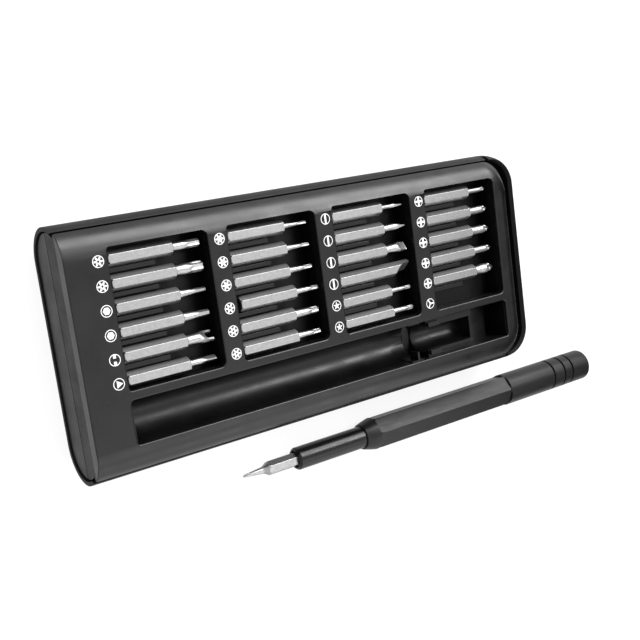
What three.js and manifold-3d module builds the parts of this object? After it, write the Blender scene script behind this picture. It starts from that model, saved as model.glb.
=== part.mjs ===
// A pocket precision screwdriver set: a flat tray of hex bits in a slide-on cover,
// with its driver lying beside the case. Millimetres, +Z up, the case lying on its back.
// The origin is the centre of the cover's flat underside. X runs along the case.

import * as THREE from 'three';
import { mergeVertices } from 'three/addons/utils/BufferGeometryUtils.js';
import Module from 'manifold-3d';

const wasm = await Module();
wasm.setup();

// ---------------------------------------------------------------- driving dimensions

const gap = 0.3; // clearance between neighbouring pieces

// Case: a stadium section, 10 mm round along both long sides
const caseLength = 167;
const caseWidth = 71.8;
const caseDepth = 20;
const sideRadius = caseDepth / 2;
const coverWall = 1.2;
const slideGap = 0.35;
const coverCornerRadius = 10;
const lipZ = 15; // the cover's lips wrap round the sides up to this height

// Tray
const trayLeft = -caseLength / 2 + 0.5;
const trayRight = caseLength / 2 - 4.7;
const shoulderRadius = sideRadius - 0.1;
const faceZ = sideRadius + shoulderRadius;
const seamZ = 10.2;
const skin = 1.6;
const pocketWall = 1.3;
const trayCornerRadius = 9.5;
const trayEndRound = 6;

// Bits and the pockets that hold them
const columns = 4;
const rows = 6;
const columnPitch = 36.7;
const rowPitch = 6.67;
const bitLength = 28;
const bitAcrossFlats = 4;
const bitAcrossCorners = bitAcrossFlats / Math.cos(Math.PI / 6);
const bitShank = 19.4;
const thinnestGroove = 0.45;
const firstPocketX = -70.65;
const firstRowY = 25.1;
const pocketLength = 30.3;
const pocketTopMargin = 3.4;
const pocketBottomMargin = 2.75;
const pocketCorner = 1.8;
const pocketLeftCorner = 0.9;
const ribDepth = 3.4;
const ribLength = 14.9;
const bitSink = 0.7; // how far a bit's top flat lies below the face
const bitAxisZ = faceZ - bitSink - bitAcrossFlats / 2;
const slotWidth = bitAcrossCorners + 2 * gap;
const slotFloorZ = bitAxisZ - bitAcrossFlats / 2 - gap;
const recessFloorZ = faceZ - 10.2;

// Channel for the driver
const channelX = [-70.95, 70.05];
const channelY = -19.9;
const troughRadius = 6.25;
const troughDepth = 11.3;
const troughEnd = 27.3;
const ringEnd = 32;
const ringRadius = 5.85;
const saddleX = [35.2, 55.2];
const saddleTopDepth = 2;
const saddleRadius = 3.85;
const saddleMouthRadius = 5.1;
const saddleMouthLength = 7;
const shelfDepth = 3.4;

// Driver, measured from the bit holder's mouth along its axis
const handleRadius = 5.6;
const shaftRadius = 3.65;
const holderLength = 26.4;
const shankLength = 20; // how far the holder's shank goes into the handle
const handleNoseRadius = 4.2;
const coneEnd = 32.6;
const flatCount = 6;
const flatsStart = 31.1;
const flatsEnd = 91.2;
const flatsApothem = 4.88;
const flatsCorner = 1.3;
const flatsRoll = -39; // degrees about the axis: how the flats have come to rest
const grooveStarts = [113.3, 118.8];
const grooveWidth = 0.7;
const grooveDepth = 0.6;
const capStart = 123.6;
const driverEnd = 132.8;
const pinRadius = 1;
const socketDepth = 8.95;
const driverMouth = [-14, -49.4];

// ---------------------------------------------------------------- materials

function finish(colour, roughness, metalness) {
  return new THREE.MeshStandardMaterial({ color: colour, roughness, metalness });
}

const casePlastic = finish(0x1b1c1d, 0.55, 0);
const coverPlastic = finish(0x161718, 0.6, 0);
const innerPlastic = finish(0x222324, 0.7, 0);
const bitSteel = finish(0x8d8f92, 0.35, 1);
const anodised = finish(0x1a1b1c, 0.4, 0.6);
const magnetMetal = finish(0x6d7074, 0.4, 1);
const screwSteel = finish(0x55585b, 0.4, 1);
const bushPlastic = finish(0xd8d4c8, 0.5, 0);

// ---------------------------------------------------------------- solids

/** Turns a closed geometry into a solid that can be joined and cut. */
function solid(geometry) {
  const bare = geometry.clone();
  bare.deleteAttribute('normal');
  bare.deleteAttribute('uv');
  const merged = mergeVertices(bare, 1e-4);
  const mesh = new wasm.Mesh({
    numProp: 3,
    vertProperties: new Float32Array(merged.attributes.position.array),
    triVerts: new Uint32Array(merged.index.array),
  });
  mesh.merge();
  return new wasm.Manifold(mesh);
}

/** Makes the named mesh of a finished solid. */
function piece(name, body, material) {
  const mesh = body.getMesh();
  const geometry = new THREE.BufferGeometry();
  geometry.setAttribute('position', new THREE.BufferAttribute(mesh.vertProperties, mesh.numProp));
  geometry.setIndex(new THREE.BufferAttribute(mesh.triVerts, 1));
  geometry.computeVertexNormals();
  const result = new THREE.Mesh(geometry, material);
  result.name = name;
  return result;
}

function joined(solids) {
  return solids.reduce((sum, next) => sum.add(next));
}

function box(x, y, z) {
  const geometry = new THREE.BoxGeometry(x[1] - x[0], y[1] - y[0], z[1] - z[0]);
  geometry.translate((x[0] + x[1]) / 2, (y[0] + y[1]) / 2, (z[0] + z[1]) / 2);
  return solid(geometry);
}

/** Extrudes a shape and lays its x and y along two axes, its depth along the third. */
function extruded(shape, depth, xAxis, yAxis, start, segments = 6) {
  const geometry = new THREE.ExtrudeGeometry(shape, { depth, bevelEnabled: false, curveSegments: segments });
  const zAxis = new THREE.Vector3().crossVectors(xAxis, yAxis);
  geometry.applyMatrix4(new THREE.Matrix4().makeBasis(xAxis, yAxis, zAxis));
  geometry.translate(zAxis.x * start, zAxis.y * start, zAxis.z * start);
  return solid(geometry);
}

const X = new THREE.Vector3(1, 0, 0);
const Y = new THREE.Vector3(0, 1, 0);
const Z = new THREE.Vector3(0, 0, 1);

/** A section in the YZ plane, drawn along X. */
function alongX(shape, x, segments) {
  return extruded(shape, x[1] - x[0], Y, Z, x[0], segments);
}

/** A section in the XZ plane, drawn along Y. */
function alongY(shape, y, segments) {
  return extruded(shape, y[1] - y[0], X, Z, -y[1], segments);
}

/** An outline in plan, drawn up along Z. */
function alongZ(shape, z, segments) {
  return extruded(shape, z[1] - z[0], X, Y, z[0], segments);
}

/** A turned piece on the X axis, from [position, radius] points. */
function turned(profile, segments = 24) {
  const points = profile.map(([position, radius]) => new THREE.Vector2(radius, position));
  const closed = [new THREE.Vector2(0, profile[0][0]), ...points, new THREE.Vector2(0, profile.at(-1)[0])];
  const geometry = new THREE.LatheGeometry(closed, segments);
  geometry.rotateZ(-Math.PI / 2);
  return solid(geometry);
}

function polygon(points) {
  return new THREE.Shape(points.map(([x, y]) => new THREE.Vector2(x, y)));
}

/** A rectangle with its own radius at each corner: left-low, right-low, right-high, left-high. */
function roundedRectangle(x, y, radii) {
  const [ll, rl, rh, lh] = radii;
  const shape = new THREE.Shape();
  shape.moveTo(x[0] + ll, y[0]);
  shape.lineTo(x[1] - rl, y[0]);
  if (rl > 0) shape.absarc(x[1] - rl, y[0] + rl, rl, -Math.PI / 2, 0);
  shape.lineTo(x[1], y[1] - rh);
  if (rh > 0) shape.absarc(x[1] - rh, y[1] - rh, rh, 0, Math.PI / 2);
  shape.lineTo(x[0] + lh, y[1]);
  if (lh > 0) shape.absarc(x[0] + lh, y[1] - lh, lh, Math.PI / 2, Math.PI);
  shape.lineTo(x[0], y[0] + ll);
  if (ll > 0) shape.absarc(x[0] + ll, y[0] + ll, ll, Math.PI, 1.5 * Math.PI);
  return shape;
}

/** A hexagonal bar along X with flats above and below. */
function hexBar(acrossFlats, x) {
  const radius = acrossFlats / 2 / Math.cos(Math.PI / 6);
  const corners = [0, 1, 2, 3, 4, 5].map((k) => {
    const angle = (k * Math.PI) / 3;
    return [radius * Math.cos(angle), radius * Math.sin(angle)];
  });
  return alongX(polygon(corners), x);
}

// ---------------------------------------------------------------- cover

/** A stadium in the YZ plane, with ends of the given radius about mid-depth. */
function stadium(radius) {
  const reach = caseWidth / 2 - sideRadius;
  const shape = new THREE.Shape();
  shape.moveTo(-reach, sideRadius - radius);
  shape.lineTo(reach, sideRadius - radius);
  shape.absarc(reach, sideRadius, radius, -Math.PI / 2, Math.PI / 2);
  shape.lineTo(-reach, sideRadius + radius);
  shape.absarc(-reach, sideRadius, radius, Math.PI / 2, 1.5 * Math.PI);
  return shape;
}

/** A long body: a stadium section with rounded right corners in plan and rounded right edges. */
function coverBody(inset) {
  const x = [-caseLength / 2 - (inset > 0 ? 1 : 0), caseLength / 2 - inset];
  const half = caseWidth / 2 - inset;
  const corner = coverCornerRadius - inset;
  const plan = roundedRectangle(x, [-half, half], [0, corner, corner, 0]);
  const edge = 7 - inset;
  const side = roundedRectangle(x, [inset, caseDepth], [0, edge, 0, 0]);
  return alongX(stadium(sideRadius - inset), x, 16)
    .intersect(alongZ(plan, [-1, caseDepth + 1], 8))
    .intersect(alongY(side, [-half - 1, half + 1], 8));
}

function makeCover() {
  const opening = box([-caseLength, caseLength], [-caseWidth, caseWidth], [lipZ, caseDepth + 1]);
  const notchX = caseLength / 2 - 11.6;
  const notches = box([notchX, notchX + 1.6], [-caseWidth, caseWidth], [sideRadius + 2.4, caseDepth]);
  const body = coverBody(0).subtract(coverBody(coverWall)).subtract(opening).subtract(notches);
  return piece('slide_cover', body, coverPlastic);
}

// ---------------------------------------------------------------- tray, front moulding

/** The front moulding's outer section: waisted under the lips, full shoulder above them. */
function frontSection() {
  const reach = caseWidth / 2 - sideRadius;
  const waist = sideRadius - coverWall - slideGap;
  const ledgeZ = lipZ + gap;
  const start = Math.asin((seamZ - sideRadius) / waist);
  const waistEnd = Math.asin((ledgeZ - sideRadius) / waist);
  const shoulderStart = Math.asin((ledgeZ - sideRadius) / shoulderRadius);
  const shape = new THREE.Shape();
  shape.moveTo(-reach - waist * Math.cos(start), seamZ);
  shape.lineTo(reach + waist * Math.cos(start), seamZ);
  shape.absarc(reach, sideRadius, waist, start, waistEnd);
  shape.absarc(reach, sideRadius, shoulderRadius, shoulderStart, Math.PI / 2);
  shape.absarc(-reach, sideRadius, shoulderRadius, Math.PI / 2, Math.PI - shoulderStart);
  shape.absarc(-reach, sideRadius, waist, Math.PI - waistEnd, Math.PI - start);
  return shape;
}

/** Everything inside the tray's plan outline and below its rounded right edge. */
function trayEnvelope(x, z) {
  const half = caseWidth / 2;
  const plan = roundedRectangle(x, [-half, half], [0, trayCornerRadius, trayCornerRadius, 0]);
  const side = roundedRectangle(x, z, [0, 0, trayEndRound, 0]);
  return alongZ(plan, [z[0], z[1]], 8).intersect(alongY(side, [-half, half], 8));
}

function frontHollow() {
  const reach = caseWidth / 2 - sideRadius;
  const radius = sideRadius - coverWall - slideGap - skin;
  const top = faceZ - skin;
  const half = reach + radius;
  const section = roundedRectangle([-half, half], [seamZ - 1, top], [0, 0, radius, radius]);
  return alongX(section, [trayLeft + skin, trayRight - 3.6], 5);
}

function pocketX(column) {
  return firstPocketX + column * columnPitch;
}

function rowY(row) {
  return firstRowY - row * rowPitch;
}

const pocketY = [rowY(rows - 1) - pocketBottomMargin, firstRowY + pocketTopMargin];

/** The walls around one column of bits, as a solid block before it is cut. */
function pocketBlock(column) {
  const x = pocketX(column);
  const y = [pocketY[0] - pocketWall, pocketY[1] + pocketWall];
  const top = faceZ - skin / 2;
  const comb = box([x - pocketWall, x + ribLength], y, [slotFloorZ - pocketWall, top]);
  const recessEnd = x + pocketLength + pocketWall;
  const recess = box([x + ribLength - pocketWall, recessEnd], y, [recessFloorZ - pocketWall, top]);
  return comb.add(recess);
}

/** The space that one column of bits lies in: six slots, and a scooped recess for a finger. */
function pocketSpace(column) {
  const x = pocketX(column);
  const corners = [pocketLeftCorner, pocketCorner, pocketCorner, pocketLeftCorner];
  const outline = roundedRectangle([x, x + pocketLength], pocketY, corners);
  const overRibs = alongZ(outline, [faceZ - ribDepth, faceZ + 1], 3);
  const slots = [];
  for (let row = 0; row < rows; row += 1) {
    const high = row === 0 ? pocketY[1] : rowY(row) + slotWidth / 2;
    const low = row === rows - 1 ? pocketY[0] : rowY(row) - slotWidth / 2;
    slots.push(box([x, x + ribLength + 1], [low, high], [slotFloorZ, faceZ + 1]));
  }
  const scoop = new THREE.Shape();
  const scoopLength = pocketLength - ribLength - 2;
  const scoopDepth = slotFloorZ - recessFloorZ;
  scoop.moveTo(x + ribLength, faceZ + 1);
  scoop.lineTo(x + ribLength, slotFloorZ);
  scoop.absellipse(x + ribLength, recessFloorZ, scoopLength, scoopDepth, Math.PI / 2, 0, true);
  scoop.lineTo(x + pocketLength, recessFloorZ);
  scoop.lineTo(x + pocketLength, faceZ + 1);
  const recess = alongY(scoop, pocketY, 6);
  const bounded = alongZ(outline, [recessFloorZ - 1, faceZ + 2], 3).intersect(joined([...slots, recess]));
  return overRibs.add(bounded);
}

function channelBlock() {
  const x = [channelX[0] - pocketWall, channelX[1] + pocketWall];
  const reach = troughRadius + pocketWall;
  return box(x, [channelY - reach, channelY + reach], [faceZ - troughDepth - pocketWall, faceZ - skin / 2]);
}

/** A half-round trough open to the top, its lowest line at the given depth. */
function trough(radius, depth, x) {
  const floor = faceZ - depth;
  const section = roundedRectangle([-radius, radius], [floor, faceZ + 1], [radius, radius, 0, 0]);
  return alongX(section, x, 9).translate([0, channelY, 0]);
}

function channelSpace() {
  const axisDepth = troughDepth - handleRadius;
  const width = [channelY - troughRadius, channelY + troughRadius];
  const long = trough(troughRadius, troughDepth, [channelX[0], troughEnd]);
  const ring = trough(ringRadius, axisDepth + ringRadius, [troughEnd - 1, ringEnd]);
  const fingerGap = box([ringEnd - 0.1, saddleX[0]], width, [faceZ - troughDepth, faceZ + 1]);
  const overSaddle = box([saddleX[0] - 0.1, saddleX[1] + 0.1], width, [faceZ - saddleTopDepth, faceZ + 1]);
  const saddle = trough(saddleRadius, axisDepth + saddleRadius, [saddleX[0] - 0.1, saddleX[1] + 0.1]);
  const mouthEnd = saddleX[0] + saddleMouthLength;
  const flare = turned([[saddleX[0] - 0.1, saddleMouthRadius], [mouthEnd, saddleRadius]], 24)
    .translate([0, channelY, faceZ - axisDepth]);
  const shelfFrom = saddleX[0] + 5.5;
  const nearWall = channelY - troughRadius;
  const shelf = box([shelfFrom, saddleX[1] + 0.1], [nearWall, channelY - saddleRadius - 1],
    [faceZ - shelfDepth, faceZ + 1]);
  const ramp = new THREE.Shape();
  ramp.moveTo(saddleX[1], faceZ + 1);
  ramp.lineTo(saddleX[1], faceZ - shelfDepth);
  ramp.absellipse(
    saddleX[1], faceZ - troughDepth, channelX[1] - saddleX[1] - 2.5, troughDepth - shelfDepth,
    Math.PI / 2, 0, true);
  ramp.lineTo(channelX[1], faceZ - troughDepth);
  ramp.lineTo(channelX[1], faceZ + 1);
  return joined([long, ring, fingerGap, overSaddle, saddle, flare, shelf, alongY(ramp, width, 6)]);
}

/** Small details standing in the channel: two snap tabs and a thin stop rib. */
function channelDetails() {
  const details = [];
  for (const side of [-1, 1]) {
    const inner = channelY + side * (saddleRadius + 0.05);
    const outer = channelY + side * (saddleRadius + 1.5);
    const y = [Math.min(inner, outer), Math.max(inner, outer)];
    details.push(box([saddleX[0] + 0.4, saddleX[0] + 4.9], y, [faceZ - saddleTopDepth - 0.5, faceZ - 0.9]));
  }
  const nearWall = channelY - troughRadius;
  details.push(box([ringEnd - 2.2, ringEnd - 1.5], [nearWall - 0.5, nearWall + 3], [faceZ - 5, faceZ - 0.9]));
  return joined(details);
}

const screwPlaces = [
  [trayLeft + 6, caseWidth / 2 - 9.5],
  [trayLeft + 6, -caseWidth / 2 + 9.5],
  [trayRight - 6.6, caseWidth / 2 - 11],
  [trayRight - 6.6, -caseWidth / 2 + 11],
];
const bossRadius = 2.6;
const screwRadius = 1;
const screwHeadRadius = 1.9;

function post(radius, z, place, segments = 12) {
  const geometry = new THREE.CylinderGeometry(radius, radius, z[1] - z[0], segments);
  geometry.rotateX(Math.PI / 2);
  geometry.translate(place[0], place[1], (z[0] + z[1]) / 2);
  return solid(geometry);
}

function makeTrayFront() {
  const outer = alongX(frontSection(), [trayLeft, trayRight], 12)
    .intersect(trayEnvelope([trayLeft, trayRight], [0, faceZ]));
  const blocks = [channelBlock()];
  const spaces = [channelSpace()];
  for (let column = 0; column < columns; column += 1) {
    blocks.push(pocketBlock(column));
    spaces.push(pocketSpace(column));
  }
  for (const place of screwPlaces) {
    blocks.push(post(bossRadius, [seamZ - 3, faceZ - skin / 2], place));
    spaces.push(post(screwRadius + gap, [seamZ - 4, faceZ - 3 * skin], place));
  }
  const inside = trayEnvelope([trayLeft, trayRight - 1.5], [0, faceZ]);
  const walls = joined(blocks).intersect(inside);
  const body = outer.subtract(frontHollow()).add(walls).subtract(joined(spaces)).add(channelDetails());
  return piece('tray_front', body, casePlastic);
}

// ---------------------------------------------------------------- tray, back moulding

function backSection(radius, top) {
  const reach = caseWidth / 2 - sideRadius;
  const low = sideRadius - radius;
  const half = reach + radius;
  return roundedRectangle([-half, half], [low, top], [radius, radius, 0, 0]);
}

function makeTrayBack() {
  const outerRadius = sideRadius - coverWall - slideGap;
  const x = [trayLeft, trayRight];
  const half = caseWidth / 2;
  const plan = roundedRectangle(x, [-half, half], [0, trayCornerRadius, trayCornerRadius, 0]);
  const side = roundedRectangle(x, [0, caseDepth], [0, trayEndRound, 0, 0]);
  const outer = alongX(backSection(outerRadius, sideRadius), x, 8)
    .intersect(alongZ(plan, [0, seamZ - gap], 6))
    .intersect(alongY(side, [-caseWidth, caseWidth], 6));
  const hollow = alongX(backSection(outerRadius - skin, caseDepth), [trayLeft + skin, trayRight - 3.6], 6);
  const parts = [outer.subtract(hollow)];
  const holes = [];
  const low = sideRadius - outerRadius;
  for (const place of screwPlaces) {
    parts.push(post(bossRadius, [low + skin / 2, seamZ - 3 - gap], place));
    holes.push(post(screwRadius + gap, [low - 1, seamZ], place));
    holes.push(post(screwHeadRadius + gap, [low - 1, low + 1.4 + gap], place));
  }
  return piece('tray_back', joined(parts).subtract(joined(holes)), innerPlastic);
}

function makeScrew(index, place) {
  const low = sideRadius - (sideRadius - coverWall - slideGap) + 0.15;
  const head = post(screwHeadRadius, [low, low + 1.3], place);
  const shank = post(screwRadius, [low + 1, faceZ - 3 * skin - 0.6], place);
  const slot = box([place[0] - 1.3, place[0] + 1.3], [place[1] - 0.3, place[1] + 0.3], [low - 1, low + 0.6]);
  const cross = box([place[0] - 0.3, place[0] + 0.3], [place[1] - 1.3, place[1] + 1.3], [low - 1, low + 0.6]);
  return piece(`tray_screw_${index + 1}`, head.add(shank).subtract(slot).subtract(cross), screwSteel);
}

/** A flat bar magnet lies across the six slots of each column, below their floor. */
function makeBitMagnet(column) {
  const x = pocketX(column) + 6;
  const top = slotFloorZ - pocketWall - gap;
  const body = box([x, x + 6], [pocketY[0] + 1, pocketY[1] - 1], [top - 2, top]);
  return piece(`bit_magnet_${column + 1}`, body, magnetMetal);
}

// ---------------------------------------------------------------- bits

/** The turned outline of a bit: hex shank, shoulder, neck and a tip of the given radius. */
function bitBlank(tip) {
  const corner = bitAcrossCorners / 2;
  const neckStart = bitShank + (corner - tip.neck) * tip.shoulder;
  const profile = [
    [0, corner - 0.45], [0.5, corner + 0.01], [bitShank, corner + 0.01], [neckStart, tip.neck],
    [bitLength - tip.length, tip.neckEnd], [bitLength - tip.chamfer, tip.radius], [bitLength, tip.end],
  ];
  return turned(profile, 12).intersect(hexBar(bitAcrossFlats, [-1, bitLength + 1]));
}

/** A bar across the tip, thin in one direction: what a slotted or two-prong tip is left as. */
function tipSlab(thickness, from, angle) {
  const slab = box([from, bitLength + 1], [-thickness / 2, thickness / 2], [-5, 5]);
  const rest = box([-1, from], [-5, 5], [-5, 5]);
  return slab.add(rest).rotate([angle, 0, 0]);
}

/** Grooves cut between the wings or lobes of a tip. Tips too thin to show them stay plain. */
function fluted(blank, count, width, depth, from, twist = 0) {
  if (width < thinnestGroove) return blank;
  const cutters = [];
  for (let k = 0; k < count; k += 1) {
    const groove = box([from, bitLength + 1], [-width / 2, width / 2], [depth, 5]);
    cutters.push(groove.rotate([(360 / count) * k + twist, 0, 0]));
  }
  return blank.subtract(joined(cutters));
}

const tipForms = {
  sixLobe: (neck, size) => {
    const tip = { neck, neckEnd: size + 0.05, shoulder: 0.25, length: 3.4, chamfer: 0.3 };
    const blank = bitBlank({ ...tip, radius: size, end: size * 0.85 });
    return fluted(blank, 6, size * 0.42, size * 0.8, bitLength - 3.4);
  },
  star: (neck, size) => {
    const tip = { neck, neckEnd: size + 0.1, shoulder: 0.25, length: 3, chamfer: 0.2 };
    const blank = bitBlank({ ...tip, radius: size, end: size * 0.8 });
    return fluted(blank, 5, size * 0.5, size * 0.78, bitLength - 2.4);
  },
  cross: (neck, size) => {
    const tip = { neck, neckEnd: size, shoulder: 0.25, length: 3.2, chamfer: size * 1.1 };
    const blank = bitBlank({ ...tip, radius: size * 0.98, end: 0.3 });
    return fluted(blank, 4, size * 0.9, size * 0.33, bitLength - 3, 45);
  },
  threeWing: (neck, size) => {
    const tip = { neck, neckEnd: neck * 0.7, shoulder: 1.8, length: 3.4, chamfer: 1.2 };
    const blank = bitBlank({ ...tip, radius: size, end: 0.35 });
    return fluted(blank, 3, size * 0.8, size * 0.5, bitLength - 2.4);
  },
  hexagon: (neck, size) => {
    const tip = { neck, neckEnd: size + 0.25, shoulder: 0.25, length: 4.6, chamfer: 0.2 };
    const blank = bitBlank({ ...tip, radius: size, end: size * 0.85 });
    const narrow = hexBar(size * 1.8, [bitLength - 4.6, bitLength + 1]);
    return blank.intersect(narrow.add(box([-1, bitLength - 4.5], [-5, 5], [-5, 5])));
  },
  triangle: (neck, size) => {
    const tip = { neck, neckEnd: size, shoulder: 0.25, length: 4, chamfer: 0.2 };
    const blank = bitBlank({ ...tip, radius: size, end: size * 0.9 });
    return fluted(blank, 3, 4, size * 0.62, bitLength - 4, 60);
  },
  twoProng: (neck, size) => {
    const tip = { neck, neckEnd: size * 0.95, shoulder: 0.25, length: 4, chamfer: 0.2 };
    const blank = bitBlank({ ...tip, radius: size, end: size - 0.1 });
    const gapWidth = size * 0.62;
    const fork = box([bitLength - 2.4, bitLength + 1], [-gapWidth, gapWidth], [-5, 5]).rotate([-45, 0, 0]);
    return blank.intersect(tipSlab(size * 0.9, bitLength - 3.6, 45)).subtract(fork);
  },
  blade: (neck, size, roll) => {
    const tip = { neck, neckEnd: size, shoulder: 0.25, length: 3, chamfer: 0.2 };
    const blank = bitBlank({ ...tip, radius: size, end: size - 0.05 });
    return blank.intersect(tipSlab(0.5, bitLength - 2.6, 90 + roll));
  },
  chisel: (neck, size, roll) => {
    const tip = { neck, neckEnd: size, shoulder: 0.2, length: 4, chamfer: 0.2 };
    const blank = bitBlank({ ...tip, radius: size, end: size });
    const slant = polygon([[bitLength - 5.5, 3], [bitLength + 1, 0.3], [bitLength + 1, 3]]);
    return blank.subtract(alongY(slant, [-4, 4]).rotate([roll, 0, 0]));
  },
};

// Column by column, from the top row down: name, tip form, radius of the neck and of the tip,
// and for a blade how far it is rolled, in degrees
const bitLayout = [
  [
    ['bit_pin_six_lobe_large', 'sixLobe', 1, 1.17],
    ['bit_pin_six_lobe_extra_large', 'sixLobe', 1.33, 1.5],
    ['bit_hexagon_small', 'hexagon', 1.05, 0.48],
    ['bit_hexagon_large', 'hexagon', 1.15, 0.62],
    ['bit_two_prong', 'twoProng', 1.33, 1.65],
    ['bit_triangle', 'triangle', 0.82, 0.88],
  ],
  [
    ['bit_six_lobe_1', 'sixLobe', 0.65, 0.4],
    ['bit_six_lobe_2', 'sixLobe', 0.73, 0.46],
    ['bit_six_lobe_3', 'sixLobe', 0.8, 0.54],
    ['bit_pin_six_lobe_1', 'sixLobe', 0.75, 0.55],
    ['bit_pin_six_lobe_2', 'sixLobe', 1.2, 0.95],
    ['bit_pin_six_lobe_3', 'sixLobe', 0.9, 0.65],
  ],
  [
    ['bit_slotted_narrow', 'blade', 0.55, 0.6, 90],
    ['bit_slotted_medium', 'blade', 0.86, 1.05, 90],
    ['bit_slotted_wide', 'blade', 1.03, 1.35, -35],
    ['bit_slotted_chisel', 'chisel', 2.25, 2.25, 45],
    ['bit_star_small', 'star', 0.66, 0.46],
    ['bit_star_large', 'star', 0.8, 0.62],
  ],
  [
    ['bit_cross_1', 'cross', 0.72, 0.72],
    ['bit_cross_2', 'cross', 1.1, 1.2],
    ['bit_cross_3', 'cross', 1.24, 1.34],
    ['bit_cross_4', 'cross', 1.1, 1.05],
    ['bit_cross_5', 'cross', 1.25, 1.65],
  ],
];
const bitSetBack = 0.35;
const shiftedBit = 'bit_pin_six_lobe_1';
const bitShift = 1.3;

function makeTrayBits() {
  const bits = [];
  bitLayout.forEach((names, column) => {
    names.forEach(([name, form, neck, size, roll], row) => {
      const bit = piece(name, tipForms[form](neck, size, roll), bitSteel);
      const shift = name === shiftedBit ? bitShift : 0;
      bit.position.set(pocketX(column) + bitSetBack + shift, rowY(row), bitAxisZ);
      bits.push(bit);
    });
  });
  return bits;
}

// ---------------------------------------------------------------- driver

/** The bit holder: a chamfered mouth, a hex socket, a magnet seat and a shank inside the handle. */
function makeHolder() {
  const shankRadius = shaftRadius - 0.6;
  const seatEnd = holderLength + 0.8;
  const outer = turned([
    [0, shaftRadius - 0.5], [0.5, shaftRadius], [seatEnd, shaftRadius],
    [seatEnd, shankRadius], [holderLength + shankLength, shankRadius],
  ]);
  const socket = hexBar(bitAcrossFlats + 2 * gap, [-1, socketDepth + gap]);
  const magnetSeat = turned([[socketDepth, 2.3], [socketDepth + 5, 2.3]], 12);
  return piece('driver_bit_holder', outer.subtract(socket).subtract(magnetSeat), anodised);
}

function makeHolderMagnet() {
  const start = socketDepth + 2 * gap;
  return piece('driver_magnet', turned([[start, 2], [start + 4, 2]], 12), magnetMetal);
}

/** The handle as turned: cone, plain round grip, two grooves and a spigot under the cap. */
function handleBlank() {
  const cone = [[holderLength, handleNoseRadius], [coneEnd - 1, handleRadius - 0.2]];
  const profile = [...cone, [coneEnd, handleRadius]];
  for (const start of grooveStarts) {
    const end = start + grooveWidth;
    profile.push([start, handleRadius], [start, handleRadius - grooveDepth]);
    profile.push([end, handleRadius - grooveDepth], [end, handleRadius]);
  }
  const shoulder = capStart - grooveWidth;
  profile.push([shoulder, handleRadius], [shoulder, handleRadius - 2.5], [capStart, handleRadius - 2.5]);
  return turned(profile);
}

/** The six flats, each milled with round-cornered ends. */
function handleFlats() {
  const halfFlat = flatsApothem * Math.tan(Math.PI / flatCount);
  const corners = [flatsCorner, flatsCorner, flatsCorner, flatsCorner];
  const outline = roundedRectangle([flatsStart, flatsEnd], [-halfFlat, halfFlat], corners);
  const flat = alongZ(outline, [flatsApothem, handleRadius + 1], 3);
  const flats = [];
  for (let k = 0; k < flatCount; k += 1) flats.push(flat.rotate([flatsRoll + (360 / flatCount) * k, 0, 0]));
  return joined(flats);
}

function makeHandle() {
  const shankEnd = holderLength + shankLength + gap;
  const shankHole = turned([[0, shaftRadius - gap], [shankEnd, shaftRadius - gap]], 16);
  const holderSeat = turned([[0, shaftRadius + gap], [holderLength + 0.8 + gap, shaftRadius + gap]]);
  const pinHole = turned([[capStart - 12, pinRadius + gap], [capStart + 1, pinRadius + gap]], 12);
  const bores = joined([shankHole, holderSeat, pinHole]);
  return piece('driver_handle', handleBlank().subtract(handleFlats()).subtract(bores), anodised);
}

/** The cap turns on a headed pin held in the handle, with a bush between them. */
function makeCap() {
  const outer = turned([
    [capStart + gap, handleRadius], [driverEnd - 1.2, handleRadius],
    [driverEnd - 0.4, handleRadius - 0.5], [driverEnd, handleRadius - 1.6],
  ]);
  const socket = turned([[capStart, 3.3], [driverEnd - 1.5, 3.3]], 16);
  return piece('driver_cap', outer.subtract(socket), anodised);
}

const pinHeadStart = driverEnd - 3.3;

function makeCapPin() {
  const profile = [[capStart - 11, pinRadius], [pinHeadStart, pinRadius]];
  profile.push([pinHeadStart, 2.6], [pinHeadStart + 1.3, 2.6]);
  return piece('driver_cap_pin', turned(profile, 12), screwSteel);
}

function makeCapBush() {
  const start = capStart + gap;
  const end = pinHeadStart - gap;
  const bore = turned([[start - 1, pinRadius + gap], [end + 1, pinRadius + gap]], 12);
  return piece('driver_cap_bush', turned([[start, 3], [end, 3]], 16).subtract(bore), bushPlastic);
}

function makeDriver() {
  const driver = new THREE.Group();
  const bit = piece('bit_three_wing', tipForms.threeWing(1.1, 0.66), bitSteel);
  bit.rotation.y = Math.PI;
  bit.position.x = socketDepth;
  driver.add(bit, makeHolder(), makeHolderMagnet(), makeHandle(), makeCap(), makeCapPin(), makeCapBush());
  driver.position.set(driverMouth[0], driverMouth[1], handleRadius);
  return driver;
}

// ---------------------------------------------------------------- assembly

const set = new THREE.Group();
set.add(makeCover(), makeTrayFront(), makeTrayBack());
screwPlaces.forEach((place, index) => set.add(makeScrew(index, place)));
for (let column = 0; column < columns; column += 1) set.add(makeBitMagnet(column));
set.add(...makeTrayBits());
set.add(makeDriver());

export default set;
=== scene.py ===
"""Looks for the precision screwdriver set: a case with its tray of bits, and the driver beside it."""

import math

import bmesh
import bpy
from mathutils import Matrix, Vector


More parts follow.
